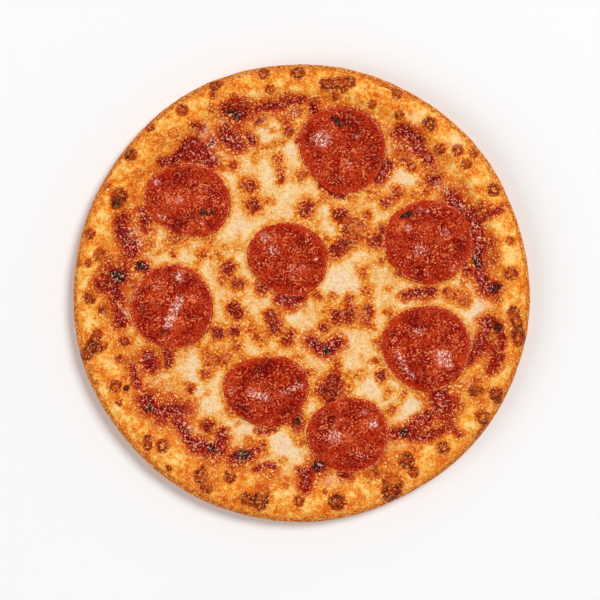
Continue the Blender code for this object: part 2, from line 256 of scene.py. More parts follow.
# On the slices: painted highlights, soft bright spots where the fat glistens, which are also smoother and a little
# raised; and burnt places.
GLINTS = (
    (322, 139, 11, 1.), (357, 137, 4, .7), (349, 164, 5, .6), (159, 216, 164, 218, 2.6, 1.),
    (157, 183, 5, .8), (180, 200, 6, .6), (420, 210, 4, .7), (427, 211, 4, .7),
    (408, 228, 5, .9), (420, 250, 9, .6), (445, 233, 8, .5), (265, 237, 7, 1.),
    (316, 259, 3, 1.), (272, 250, 10, .45), (293, 270, 7, .5), (304, 268, 6, .45),
    (180, 300, 168, 325, 6, .95), (180, 276, 8, .6), (135, 297, 4, .6),
    (443, 358, 10, 1.), (449, 366, 5, .7), (406, 369, 414, 377, 3, .6), (419, 332, 6, .6),
    (397, 352, 404, 367, 4, .6), (432, 352, 6, .4), (250, 393, 266, 397, 6, .65), (283, 392, 300, 385, 6, .5),
    (335, 436, 9, .9), (373, 424, 6, 1.), (364, 412, 6, .5), (335, 423, 341, 419, 2, .6),
    (364, 457, 5, .4), (233, 390, 7, .35), (160, 285, 8, .35), (452, 268, 8, .4),
    (202, 224, 3, .5), (342, 178, 6, .3), (205, 190, 7, .3), (462, 236, 5, .4),
)
# Lighter, orange parts of the slices and deep red, smoother ones: partly the meat's own tone, partly painted light
# and shade over the cupped slices.
MEAT_LIGHTER_AND_LIT = (
    (325, 165, 10, .6), (350, 160, 12, .5), (372, 140, 5, .3), (170, 200, 12, .5),
    (195, 195, 12, .6), (222, 200, 5, .6), (425, 232, 14, .5), (445, 255, 10, .4),
    (400, 225, 6, .6), (275, 240, 10, .5), (300, 275, 10, .5), (165, 290, 12, .5),
    (180, 320, 10, .6), (440, 360, 12, .8), (455, 335, 5, .6), (400, 350, 8, .6),
    (255, 395, 10, .5), (340, 440, 12, .5), (365, 425, 10, .6), (380, 450, 5, .5),
)


MEAT_DARKER_AND_SHADED = (
    (355, 125, 14, .6), (375, 160, 7, .5), (325, 122, 8, .5), (185, 175, 10, .5),
    (175, 225, 10, .6), (150, 205, 6, .4), (215, 225, 6, .4), (440, 215, 10, .5),
    (460, 245, 6, .5), (415, 270, 10, .5), (300, 240, 8, .5), (310, 265, 7, .4),
    (270, 280, 8, .4), (190, 285, 10, .5), (150, 320, 8, .5), (145, 290, 6, .5),
    (415, 320, 12, .5), (420, 378, 10, .5), (390, 335, 6, .4), (265, 368, 10, .7),
    (285, 405, 10, .5), (245, 412, 7, .6), (300, 378, 6, .6), (330, 412, 8, .5),
    (350, 462, 10, .5), (320, 450, 6, .5),
)


SLICE_CHAR = (
    (333, 118, 3.4, .95), (337, 121, 4.2, 1.), (341, 126, 3.6, 1.), (346, 119, 3, .5),
    (402, 217, 411, 213, 3.4, 1.), (417, 213, 2.2, .6), (414, 235, 2, .7),
    (203, 213, 5, .9), (213, 212, 5, .8), (372, 148, 6, .45), (150, 288, 4, .7),
    (142, 310, 6, .6), (161, 332, 168, 331, 4, .6), (258, 370, 5, .5),
    (285, 264, 6, .45), (318, 266, 5, .55), (447, 246, 5, .4), (236, 402, 4, .4),
    (193, 218, 5, .5), (163, 218, 2, .6), (431, 322, 6, .25), (264, 417, 3, .4),
    (463, 352, 5, .35), (300, 264, 6, .3), (255, 365, 4, .4), (177, 210, 5, .3),
)
# Loose burnt bits: x, y, half length in pixels; what each lies on is found where they are made.
BURNT_BITS = (
    (118, 276, 6), (113, 274, 3), (123, 278, 3), (141, 266, 5), (237, 116, 4),
    (231, 112, 3), (242, 455, 6), (248, 454, 3), (317, 466, 5),
    (321, 463, 3), (494, 288, 4.5), (498, 286, 3), (476, 261, 4), (479, 266, 3),
    (497, 327, 4.5), (149, 408, 4), (404, 432, 4), (118, 204, 3),
    (127, 388, 2.6), (327, 350, 4), (297, 421, 3), (213, 448, 4),
)


# ------------------------------------------------------------- number functions
def smooth(t):
    t = np.clip(t, 0.0, 1.0)
    return t * t * (3.0 - 2.0 * t)


def waves(angle, terms):
    return sum(a * np.cos(n * angle + p) for a, n, p in terms)


def lattice(ix, iy, iz, seed):
    mask = np.uint64(0xFFFFFFFF)
    h = (
        (ix * 73856093).astype(np.uint64)
        ^ (iy * 19349663).astype(np.uint64)
        ^ (iz * 83492791).astype(np.uint64)
        ^ np.uint64((seed * 2654435761) & 0xFFFFFFFF)
    ) & mask
    h = ((h ^ (h >> np.uint64(15))) * np.uint64(2246822519)) & mask
    h = ((h ^ (h >> np.uint64(13))) * np.uint64(3266489917)) & mask
    return h ^ (h >> np.uint64(16))


def noise(x, y, z, seed):
    """Gradient noise, about -1 to 1, with features one unit across."""
    ix, iy, iz = (np.floor(v).astype(np.int64) for v in (x, y, z))
    fx, fy, fz = x - ix, y - iy, z - iz
    ux, uy, uz = (f * f * f * (f * (f * 6 - 15) + 10) for f in (fx, fy, fz))
    total = np.zeros_like(fx)
    flat = not np.any(fz)
    for dz in (0,) if flat else (0, 1):
        wz = (uz if dz else 1 - uz)
        for dy in (0, 1):
            wy = wz * (uy if dy else 1 - uy)
            for dx in (0, 1):
                h = lattice(ix + dx, iy + dy, iz + dz, seed)
                gx, gy, gz = (
                    ((h >> np.uint64(s)) & np.uint64(1023)).astype(float) / 511.5 - 1
                    for s in (0, 10, 20)
                )
                total += (
                    wy
                    * (ux if dx else 1 - ux)
                    * (gx * (fx - dx) + gy * (fy - dy) + gz * (fz - dz))
                )
    return total * 1.55


def fbm(x, y, size, octaves, seed, gain=0.5, z=None):
    """Layered noise whose largest features are size mm across."""
    z = np.zeros_like(x) if z is None else z
    total, amp, norm = 0.0, 1.0, 0.0
    for i in range(octaves):
        total = total + amp * noise(x / size, y / size, z / size, seed + 31 * i)
        norm += amp
        amp *= gain
        size /= 2.03
    return total / norm


def to_segment(x, y, a, b):
    """Distance to the line from a to b."""
    dx, dy = b[0] - a[0], b[1] - a[1]
    length = dx * dx + dy * dy
    t = 0.0 if length < 1e-9 else np.clip(((x - a[0]) * dx + (y - a[1]) * dy) / length, 0, 1)
    return np.hypot(x - a[0] - t * dx, y - a[1] - t * dy)


def ends_of(mark):
    """A mark's two ends and its radius in mm, and its depth."""
    if len(mark) >= 6:
        a, b, rest = from_photo(*mark[:2]), from_photo(*mark[2:4]), mark[4:]
    else:
        a = b = from_photo(*mark[:2])
        rest = mark[2:]
    return a, b, rest[0] * PX, rest[1]


def near(x, y, a, b, reach):
    return np.nonzero(
        (x > min(a[0], b[0]) - reach)
        & (x < max(a[0], b[0]) + reach)
        & (y > min(a[1], b[1]) - reach)
        & (y < max(a[1], b[1]) + reach)
    )[0]


def soft_marks(x, y, marks, inner=0.25, outer=1.25):
    """0 to 1: how deep inside any of the marks a place is."""
    out = np.zeros_like(x)
    for mark in marks:
        a, b, radius, depth = ends_of(mark)
        i = near(x, y, a, b, radius * outer)
        if len(i):
            t = to_segment(x[i], y[i], a, b) / radius
            out[i] = np.maximum(out[i], depth * (1 - smooth((t - inner) / (outer - inner))))
    return out


def bake(x, y):
    """All that the oven and the sauce did to a place on the top, with a fringe of painted shade round the slices: a
    dictionary of fields, each an array like x."""
    wx = x + 0.8 * fbm(x, y, 6.5, 3, 11) + 0.5 * fbm(x, y, 2.0, 2, 12)
    wy = y + 0.8 * fbm(x, y, 6.5, 3, 13) + 0.5 * fbm(x, y, 2.0, 2, 14)
    keep, dome, crowd = np.ones_like(x), np.zeros_like(x), np.zeros_like(x)
    rng = np.random.default_rng(7)
    for rim, marks in ((0, CHEESE_BLISTERS), (1, RIM_BLISTERS)):
        for mark in marks:
            ring = 0
            if rim:
                ring, mark = mark[-1], mark[:-1]
            a, b, radius, depth = ends_of(mark)
            sunk = rng.uniform(0.25, 0.75)
            wide = radius + 4.2
            i = near(wx, wy, a, b, wide * 2.0)
            if not len(i):
                continue
            far = to_segment(wx[i], wy[i], a, b)
            crowd[i] += depth * np.exp(-((far / wide) ** 2)) * (1 - 0.6 * rim)
            t = far / radius
            if rim:
                level = np.interp(
                    t, (0, 0.3, 0.62, 0.82, 0.98, 1.12, 1.3, 1.9), (0.62, 0.74, 1, 0.84, 0.66, 0.30, 0.12, 0)
                )
            else:
                level = np.interp(
                    t,
                    (0, 0.6, 0.9, 1.1, 1.3, 1.6, 2.0, 2.6),
                    (1, 0.97, 0.84, 0.58, 0.43, 0.30, 0.13, 0),
                )
            if ring:
                level = level * (0.62 + 0.38 * smooth(t / 0.7))
            keep[i] *= 1 - np.clip(depth * level, 0, 0.995)
            lift = min(0.9, 0.16 * radius + 0.12) * (0.7 if rim else 1.0)
            shape = lift * np.clip(1 - (t / 1.2) ** 2, 0, 1)
            if depth > 0.55:
                shape -= lift * sunk * (1 - smooth(t / 0.62))
            dome[i] = np.where(np.abs(shape) > np.abs(dome[i]), shape, dome[i])
    sx = x + 1.9 * fbm(x, y, 8.0, 3, 15) + 1.1 * fbm(x, y, 3.0, 2, 16)
    sy = y + 1.9 * fbm(x, y, 8.0, 3, 17) + 1.1 * fbm(x, y, 3.0, 2, 18)
    streak, red = np.zeros_like(x), np.zeros_like(x)
    for width, strength, *line in SAUCE_STREAKS:
        half = width * PX / 2
        line = [from_photo(*p) for p in line]
        for a, b in zip(line, line[1:]):
            i = near(sx, sy, a, b, half * 3.4 + 1.5)
            if not len(i):
                continue
            t = to_segment(sx[i], sy[i], a, b) / half
            streak[i] = np.maximum(streak[i], strength * (1 - smooth((t - 0.35) / 0.9)))
            level = np.interp(t, (0, 0.7, 1.05, 1.5, 2.2, 3.4), (0.90, 0.84, 0.62, 0.42, 0.22, 0))
            red[i] = np.maximum(red[i], strength * level)
    r = np.hypot(x, y)
    patches = 0.78 * soft_marks(sx, sy, REDDENED, 0.0, 1.6)
    patches = patches * (0.9 + 0.8 * fbm(x, y, 4.5, 3, 22))
    red = 1 - (1 - np.clip(red, 0, 0.99)) * (1 - np.clip(patches, 0, 0.9))
    streak = streak * np.clip(0.85 + 0.7 * fbm(x, y, 3.4, 3, 25), 0, 1.15)
    pale = soft_marks(wx, wy, PALE, 0.0, 1.6)
    bright = soft_marks(wx, wy, BRIGHT_RIM, 0.0, 1.6)
    gold = smooth((r + 2.6 * fbm(x, y, 8.0, 3, 23) - 95.5) / 8.0)
    patchy = 0.62 * fbm(x, y, 6.5, 4, 24, 0.62) + 0.30 * np.clip(crowd, 0, 1.0)
    foot = smooth((r - 84) / 12) * (1 - smooth((r - 106) / 7))
    stain = smooth((patchy + 0.22 * foot - 0.26 * pale - 0.10) / 0.34)
    fat_stain_and_shade, hug = np.zeros_like(x), np.zeros_like(x)
    for cx, cy, radii in SLICES.values():
        i = near(x, y, (cx, cy), (cx, cy), max(radii) + 3.0)
        if len(i):
            turn, far = np.arctan2(y[i] - cy, x[i] - cx), np.hypot(x[i] - cx, y[i] - cy)
            gap = far - slice_radius(radii, turn)
            hug[i] = np.maximum(hug[i], (1 - smooth(gap / 2.4)) * smooth((gap + 2.6) / 1.8))
            # a browned fringe in the cheese round each slice: partly fat soaked in, partly painted contact shade
            gap = gap + 0.8 * fbm(x[i], y[i], 3.0, 2, 27) - 0.5
            fat_stain_and_shade[i] = np.maximum(fat_stain_and_shade[i], 1 - smooth(gap / 2.5))
    return {
        # browning of the blisters, and the fringe round the slices, part painted shade
        "brown": 1 - keep * (1 - 0.34 * fat_stain_and_shade),
        "hug": hug,
        "dome": dome,
        "streak": streak,
        "red": np.clip(red, 0, 1),
        "pale": np.clip(pale, 0, 1),
        "bright": np.clip(bright, 0, 1),
        "gold": gold,
        "stain": stain,
        "milky": np.clip(soft_marks(sx, sy, MILKY, 0.0, 1.4), 0, 1),
        "soot": soft_marks(wx, wy, [(px, py, size * 1.15, 0.95) for px, py, size in BURNT_BITS], 0.2, 1.7),
    }


# ------------------------------------------------------------------ the surfaces
def rim_height(angle):
    return RIM_HEIGHT + waves(
        angle, ((0.45, 2, 0.6), (0.40, 3, 2.1), (0.35, 5, 4.0), (0.25, 8, 1.2))
    )


def outline_shift(angle):
    return waves(angle, ((0.20, 2, 3.7), (0.35, 3, 0.8), (0.30, 5, 2.2), (0.20, 9, 0.4)))


def dough_top(r, angle):
    rise = smooth((r - RIM_FOOT_RADIUS) / (RIM_CREST_RADIUS - RIM_FOOT_RADIUS))
    return FLOOR_TOP + (rim_height(angle) - FLOOR_TOP) * rise


def dough_relief(x, y):
    return 0.42 * fbm(x, y, 15.0, 2, 41) + 0.30 * fbm(x, y, 5.5, 3, 42)


def crust_top(x, y):
    r = np.hypot(x, y)
    return dough_top(r, np.arctan2(y, x)) + dough_relief(x, y) * smooth((r - 92) / 12)


def cheese_swell(x, y):
    return 0.22 * np.sin(x / 9.5 + 0.7) * np.cos(y / 11.0) + 0.16 * np.sin(
        y / 8.5 + x / 15.0 + 2.0
    )


def cheese_cover(x, y):
    """Height of unbroken cheese over the dough, fading away up the rim."""
    r = np.hypot(x, y)
    edge = r + 1.6 * fbm(x, y, 9.0, 3, 51)
    thick = LAYERS + cheese_swell(x, y)
    return thick + (-0.5 - thick) * smooth((edge - 96.0) / 12.0)


def open_share(streak):
    return smooth((streak - 0.25) / 0.6)


def cheese_surface(x, y, f):
    cover = cheese_cover(x, y)
    fine = 0.16 * fbm(x, y, 7.0, 3, 52) + 0.05 * fbm(x, y, 1.7, 2, 53)
    cover = cover + fine * smooth((cover + 0.4) / 1.5)
    cover = cover + f["dome"] * smooth((cover + 0.3) / 1.0)
    cover = cover - 0.30 * f["red"] * (cover > 0)
    cover = cover - np.minimum(0.55, np.maximum(cover, 0.0)) * open_share(f["streak"])
    cover = cover + 0.95 * f["hug"] * smooth((cover - 0.5) / 1.0)
    return np.minimum(crust_top(x, y) + cover, 17.8)


def sauce_surface(x, y, f):
    """Just under the cheese, and level with it where a streak lies bare."""
    r = np.hypot(x, y)
    cover = cheese_cover(x, y)
    deep = np.minimum(1.6, 0.45 + 0.5 * np.maximum(cover, 0.0))
    lumps = 0.20 * fbm(x, y, 3.2, 3, 61) + 0.12 * fbm(x, y, 1.3, 2, 62)
    rise = smooth(f["streak"] / 0.7)
    low = cover - deep + (deep - 0.30 + lumps) * rise
    low = np.where(cover < 0.4, np.minimum(low, 0.1 + 0.5 * rise + lumps * rise), low)
    low = low - 1.2 * smooth((r - 103.0) / 5.0) * (1 - rise)
    return np.minimum(crust_top(x, y) + low, 17.7)


# --------------------------------------------------------------- mesh assembling
def build(name, points, faces, fields, material, slot, *nodes):
    """A closed mesh from points in mm and faces of three or four corners."""
    mesh = bpy.data.meshes.new(name)
    points = np.asarray(points, float) * MM
    mesh.vertices.add(len(points))
    mesh.vertices.foreach_set("co", points.astype(np.float32).ravel())
    corners = np.concatenate([f.ravel() for f in faces])
    sizes = np.concatenate([np.full(len(f), f.shape[1]) for f in faces])
    mesh.loops.add(len(corners))
    mesh.loops.foreach_set("vertex_index", corners.astype(np.int32))
    mesh.polygons.add(len(sizes))
    starts = np.concatenate([[0], np.cumsum(sizes)[:-1]])
    mesh.polygons.foreach_set("loop_start", starts.astype(np.int32))
    mesh.update(calc_edges=True)
    mesh.validate()
    mesh.shade_smooth()
    for key, values in fields.items():
        layer = mesh.attributes.new(key, "FLOAT", "POINT")
        layer.data.foreach_set("value", np.asarray(values, np.float32))
    mesh.materials.append(material)
    obj = bpy.data.objects.new(name, mesh)
    bpy.context.scene.collection.objects.link(obj)
    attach(obj, "root")
    if nodes:
        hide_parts(*nodes)
    return obj


def disc_grid(n):
    """A square grid of n cells a side laid over a disc: each point's share of
    the radius and its angle, the faces, and the points round the edge."""
    line = np.linspace(-1, 1, n + 1)
    u, v = (a.ravel() for a in np.meshgrid(line, line))
    wide = np.abs(u) > np.abs(v)
    with np.errstate(divide="ignore", invalid="ignore"):
        angle = np.where(
            wide,
            math.pi / 4 * np.where(u == 0, 0, v / u),
            math.pi / 2 - math.pi / 4 * np.where(v == 0, 0, u / v),
        )
    share = np.where(wide, u, v)
    angle = np.where(share < 0, angle + math.pi, angle)
    share = np.abs(share)
    i, j = (a.ravel() for a in np.meshgrid(np.arange(n), np.arange(n)))
    k = j * (n + 1) + i
    faces = np.stack([k, k + 1, k + n + 2, k + n + 1], 1)
    edge = np.concatenate(
        [
            np.arange(n),
            np.arange(n) * (n + 1) + n,
            (n + 1) * n + n - np.arange(n),
            (n - np.arange(n)) * (n + 1),
        ]
    )
    return share, angle, faces, edge


def close_below(count, edge, rings):
    """Faces from an edge loop down through rings of len(edge) points each, the
    first at index count, to one point in the middle of the underside."""
    n, faces, loop = len(edge), [], edge
    for k in range(rings):
        ring = count + k * n + np.arange(n)
        faces.append(np.stack([loop, ring, np.roll(ring, -1), np.roll(loop, -1)], 1))
        loop = ring
    middle = np.full(n, count + rings * n)
    return faces, np.stack([loop, middle, np.roll(loop, -1)], 1)


# -------------------------------------------------------------------- materials
class Nodes:
    """Short ways to add shader nodes."""

    def __init__(self, name):
        self.material = bpy.data.materials.new(name)
        self.material.use_nodes = True
        self.tree = self.material.node_tree
        self.shader = self.tree.nodes["Principled BSDF"]
        self.where = self.add("ShaderNodeTexCoord").outputs["Object"]

    def add(self, kind, **settings):
        node = self.tree.nodes.new(kind)
        for key, value in settings.items():
            setattr(node, key, value)
        return node

    def put(self, socket, value):
        if isinstance(value, bpy.types.NodeSocket):
            self.tree.links.new(value, socket)
        elif isinstance(value, (tuple, list)) and len(value) == 3 and socket.type == "RGBA":
            socket.default_value = (*value, 1.0)
        else:
            socket.default_value = value

    def math(self, operation, a, b=None, c=None, clamp=False):
        node = self.add("ShaderNodeMath", operation=operation, use_clamp=clamp)
        for socket, value in zip(node.inputs, (a, b, c)):
            if value is not None:
                self.put(socket, value)
        return node.outputs[0]

    def plus(self, a, b, clamp=False):
        return self.math("ADD", a, b, clamp=clamp)

    def times(self, a, b, clamp=False):
        return self.math("MULTIPLY", a, b, clamp=clamp)

    def mix(self, share, a, b, blend="MIX"):
        node = self.add("ShaderNodeMix", data_type="RGBA", blend_type=blend)
        node.clamp_factor = True
        self.put(node.inputs[0], share)
        self.put(node.inputs[6], a)
        self.put(node.inputs[7], b)
        return node.outputs[2]

    def noise(self, size, detail=3.0, rough=0.55, shift=0.0, distortion=0.0, stretch=None):
        """Noise about 0 to 1 whose features are size mm across."""
        where = self.where
        if shift or stretch:
            mapping = self.add("ShaderNodeMapping")
            self.put(mapping.inputs["Vector"], where)
            mapping.inputs["Location"].default_value = (shift, shift * 0.7, shift * 0.3)
            mapping.inputs["Scale"].default_value = stretch or (1, 1, 1)
            where = mapping.outputs[0]
        node = self.add("ShaderNodeTexNoise")
        self.put(node.inputs["Vector"], where)
        node.inputs["Scale"].default_value = 1.0 / (size * MM)
        node.inputs["Detail"].default_value = detail
        node.inputs["Roughness"].default_value = rough
        node.inputs["Distortion"].default_value = distortion
        return node.outputs["Fac"]

    def cells(self, size, feature="F1", randomness=1.0, colour=False):
        node = self.add("ShaderNodeTexVoronoi", feature=feature)
        self.put(node.inputs["Vector"], self.where)
        node.inputs["Scale"].default_value = 1.0 / (size * MM)
        node.inputs["Randomness"].default_value = randomness
        return node.outputs["Color" if colour else "Distance"]

    def steps(self, value, low, high, out_low=0.0, out_high=1.0):
        """An even S from out_low at low to out_high at high."""
        node = self.add("ShaderNodeMapRange", interpolation_type="SMOOTHSTEP")
        for socket, v in zip(node.inputs, (value, low, high, out_low, out_high)):
            self.put(socket, v)
        return node.outputs[0]

    def ramp(self, value, *stops):
        node = self.add("ShaderNodeValToRGB")
        ramp = node.color_ramp
        while len(ramp.elements) < len(stops):
            ramp.elements.new(0.5)
        for element, (place, colour) in zip(ramp.elements, stops):
            element.position = place
            element.color = (*colour, 1.0)
        self.put(node.inputs[0], value)
        return node.outputs[0]

    def field(self, name):
        return self.add("ShaderNodeAttribute", attribute_name=name).outputs["Fac"]

    def bump(self, height, distance, strength=1.0, under=None):
        node = self.add("ShaderNodeBump")
        node.inputs["Strength"].default_value = strength
        node.inputs["Distance"].default_value = distance * MM
        self.put(node.inputs["Height"], height)
        if under is not None:
            self.put(node.inputs["Normal"], under)
        return node.outputs[0]

    def set(self, **values):
        for key, value in values.items():
            self.put(self.shader.inputs[key.replace("_", " ")], value)


SAUCE_RED = (
    (0.06, (0.84, 0.265, 0.035)),
    (0.22, (0.73, 0.155, 0.012)),
    (0.42, (0.56, 0.055, 0.006)),
    (0.64, (0.38, 0.013, 0.006)),
    (0.84, (0.23, 0.002, 0.002)),
    (1.00, (0.10, 0.001, 0.001)),
)


def baked_material(name, side=False):
    """Cheese and the golden rim share one make-up, so that the one runs into
    the other. The crust adds its bare, matt side."""
    n = Nodes(name)
    big, mid = n.noise(16, 3), n.noise(5.0, 4, 0.62, 3.1)
    grains, grit = n.noise(2.3, 2, 0.55, 5.7, 0.3), n.noise(1.3, 1, 0.5, 9.3, 0.2)
    sharp, vary = n.noise(1.45, 1, 0.5, 12.9, 0.2), n.noise(3.4, 2, 0.6, 4.4)
    tiny = n.noise(1.0, 1, 0.5, 6.1, 0.3)
    mottle = n.plus(n.times(n.plus(mid, -0.5), 1.7), n.times(n.plus(big, -0.5), 0.8))
    spread = n.plus(n.steps(grains, 0.36, 0.64, -0.45, 0.45), n.steps(grit, 0.38, 0.62, -0.45, 0.45))

    brown, gold, milky = n.field("brown"), n.field("gold"), n.field("milky")
    baked = n.plus(n.times(brown, 0.86), n.times(n.field("stain"), 0.22))
    baked = n.plus(n.plus(baked, 0.06), n.times(mottle, 0.34))
    baked = n.plus(baked, n.times(n.field("pale"), -0.16))
    freckles = n.times(n.steps(n.noise(3.0, 2, 0.6, 17.7), 0.58, 0.72), n.steps(big, 0.40, 0.60, 0.08, 0.30))
    baked = n.plus(baked, freckles)
    gain = n.plus(0.07, n.times(n.steps(baked, 0.12, 0.5), 0.07))
    baked = n.plus(baked, n.times(spread, gain), clamp=True)
    cream = n.ramp(
        baked,
        (0.00, (0.94, 0.640, 0.305)),
        (0.12, (0.91, 0.515, 0.190)),
        (0.24, (0.88, 0.400, 0.098)),
        (0.37, (0.83, 0.275, 0.032)),
        (0.50, (0.76, 0.180, 0.010)),
        (0.65, (0.62, 0.092, 0.005)),
        (0.82, (0.42, 0.032, 0.003)),
        (1.00, (0.22, 0.008, 0.002)),
    )
    # thick cheese is whiter and a little pink, thin cheese yellower
    thick = n.plus(n.field("pale"), n.times(mottle, -1.1))
    cream = n.mix(n.times(n.steps(thick, 0.10, 0.9), n.steps(baked, 0.30, 0.05)), cream, (0.91, 0.64, 0.40))
    warm = n.steps(n.noise(2.8, 2, 0.6, 21.3), 0.46, 0.60, 0.0, 0.60)
    warm = n.times(warm, n.times(n.steps(baked, 0.10, 0.30), n.steps(baked, 0.75, 0.5)))
    cream = n.mix(warm, cream, (1.0, 0.92, 0.35), "MULTIPLY")
    tone = n.plus(n.plus(0.56, n.times(mottle, 1.15)), n.times(spread, 0.17))
    tone = n.plus(tone, n.times(n.field("bright"), 0.34))
    tone = n.plus(tone, n.times(n.field("stain"), -0.11), clamp=True)
    golden = n.ramp(
        tone,
        (0.00, (0.46, 0.044, 0.003)),
        (0.20, (0.66, 0.096, 0.004)),
        (0.38, (0.80, 0.160, 0.007)),
        (0.54, (0.87, 0.250, 0.016)),
        (0.70, (0.93, 0.370, 0.046)),
        (0.86, (0.97, 0.515, 0.110)),
        (1.00, (1.00, 0.670, 0.250)),
    )
    toasted = n.plus(brown, n.times(spread, n.plus(0.03, n.times(n.steps(brown, 0.05, 0.5), 0.13))))
    toasted = n.plus(toasted, n.times(n.plus(vary, -0.5), n.steps(brown, 0.2, 0.6, 0.0, 0.7)))
    burnt = n.ramp(
        toasted,
        (0.10, (0.76, 0.170, 0.010)),
        (0.34, (0.62, 0.095, 0.005)),
        (0.58, (0.42, 0.046, 0.004)),
        (0.80, (0.21, 0.023, 0.005)),
        (1.00, (0.065, 0.009, 0.003)),
    )
    golden = n.mix(n.steps(toasted, 0.08, 0.34), golden, burnt)
    golden = n.mix(n.times(n.field("pale"), 0.6), golden, (1.0, 0.76, 0.40))
    colour = n.mix(gold, cream, golden)

    red = n.field("red")
    red = n.plus(red, n.times(spread, n.times(n.steps(red, 0.03, 0.45), 0.10)))
    colour = n.mix(n.steps(red, 0.04, 0.28), colour, n.ramp(red, *SAUCE_RED))
    veil = n.steps(n.plus(grains, n.times(n.plus(sharp, -0.5), 1.3)), 0.46, 0.57, 0.05, 0.90)
    colour = n.mix(n.times(milky, veil), colour, (0.90, 0.52, 0.30))
    soot = n.plus(n.field("soot"), n.times(spread, n.times(n.steps(n.field("soot"), 0.0, 0.4), 0.12)))
    colour = n.mix(n.steps(soot, 0.2, 0.9), colour, (0.035, 0.008, 0.006))

    # painted highlights and painted shade: light specks on the grains and dark pits between them, where it is wet or
    # baked
    wet = n.math("MAXIMUM", n.field("red"), n.plus(brown, n.times(n.field("stain"), 0.18)))
    wet = n.plus(wet, n.times(gold, 0.08))
    damp, soaked = n.steps(wet, 0.05, 0.34), n.steps(wet, 0.38, 0.78)
    some = n.steps(vary, 0.38, 0.60, 0.25, 1.0)
    painted_pit_shade = n.math("MAXIMUM", n.steps(sharp, 0.41, 0.34), n.times(n.steps(tiny, 0.42, 0.35), 0.85))
    painted_pit_shade = n.times(painted_pit_shade, n.plus(n.plus(0.41, n.times(gold, -0.06)), n.times(damp, 0.32)))
    painted_pit_shade = n.times(painted_pit_shade, n.plus(1.0, n.times(n.field("bright"), -0.40)))
    deep = n.mix(n.steps(wet, 0.30, 0.70), (0.64, 0.130, 0.009), (0.16, 0.003, 0.001))
    dull = n.mix(gold, (0.66, 0.28, 0.065), (0.62, 0.125, 0.007))
    colour = n.mix(painted_pit_shade, colour, n.mix(damp, dull, deep))
    # painted highlight specks, fewer on burnt, deep red and sooty places, and their colours below
    painted_sparkle = n.math("MAXIMUM", n.times(n.steps(sharp, 0.60, 0.67), some), n.times(n.steps(tiny, 0.59, 0.65), n.plus(0.35, n.times(some, 0.65))))
    painted_sparkle = n.times(painted_sparkle, n.plus(n.plus(0.62, n.times(damp, 0.36)), n.times(milky, 0.2)), clamp=True)
    painted_sparkle = n.times(painted_sparkle, n.steps(brown, 0.76, 1.0, 1.0, 0.40))
    painted_sparkle = n.times(painted_sparkle, n.steps(n.field("red"), 0.55, 0.95, 1.0, 0.74))
    painted_sparkle = n.times(painted_sparkle, n.steps(n.field("soot"), 0.9, 0.2, 0.30, 1.0))
    light = n.mix(n.math("MAXIMUM", damp, gold), (1.0, 0.80, 0.46), (1.0, 0.60, 0.18))
    dim = n.mix(gold, (0.95, 0.36, 0.17), (0.80, 0.30, 0.08))
    light = n.mix(soaked, light, dim)
    colour = n.mix(painted_sparkle, colour, n.mix(milky, light, (1.0, 0.78, 0.66)))

    rough = n.plus(n.steps(wet, 0.0, 0.8, 0.30, 0.18), n.times(gold, 0.14))
    height = n.plus(n.plus(n.times(grains, 0.7), n.times(grit, 0.4)), n.times(sharp, 0.6))
    height = n.times(height, n.steps(wet, 0.0, 0.6, 0.7, 1.0))
    if side:
        bare = n.field("bare")
        soft = n.noise(2.8, 4, 0.7, 1.3)
        flour = n.noise(1.5, 2, 0.7, 2.9)
        sheet = n.mix(n.steps(soft, 0.35, 0.65), (0.60, 0.130, 0.011), (0.80, 0.260, 0.036))
        low = n.field("low")
        sheet = n.mix(n.times(low, 0.6), sheet, (0.84, 0.310, 0.055))
        rest = n.plus(0.86, n.times(low, -0.46))
        sheet = n.mix(n.times(n.steps(flour, 0.52, 0.62), rest), sheet, (0.95, 0.46, 0.13))
        sheet = n.mix(n.times(n.steps(flour, 0.48, 0.40), rest), sheet, (0.38, 0.060, 0.004))
        # the underside: paler dough with toasted patches
        under = n.field("under")
        spots = n.plus(n.noise(13.0, 4, 0.62, 31.0), n.times(n.plus(flour, -0.5), 0.12))
        sheet = n.mix(n.times(under, 0.6), sheet, (0.87, 0.45, 0.15))
        patches = n.plus(n.steps(spots, 0.50, 0.62, 0.05, 0.85), n.steps(spots, 0.62, 0.72, 0.0, 0.35))
        toast = n.plus(n.field("toast"), n.times(under, patches))
        toast = n.plus(toast, n.times(n.plus(soft, -0.5), n.steps(toast, 0.05, 0.35, 0.0, 1.4)))
        sheet = n.mix(n.steps(toast, 0.2, 0.85), sheet, (0.34, 0.080, 0.012))
        sheet = n.mix(n.steps(toast, 0.75, 1.3), sheet, (0.10, 0.022, 0.006))
        bare = n.plus(bare, n.times(n.plus(soft, -0.5), n.times(n.steps(bare, 0.0, 0.3), 1.3)))
        share = n.steps(bare, 0.2, 0.9)
        colour = n.mix(share, colour, sheet)
        rough = n.plus(rough, n.times(share, 0.45), clamp=True)
        height = n.plus(height, n.times(n.times(flour, share), 0.7))
    n.set(
        Base_Color=colour,
        Roughness=rough,
        Specular_IOR_Level=0.035,
        Normal=n.bump(height, 1.0),
    )
    return n.material


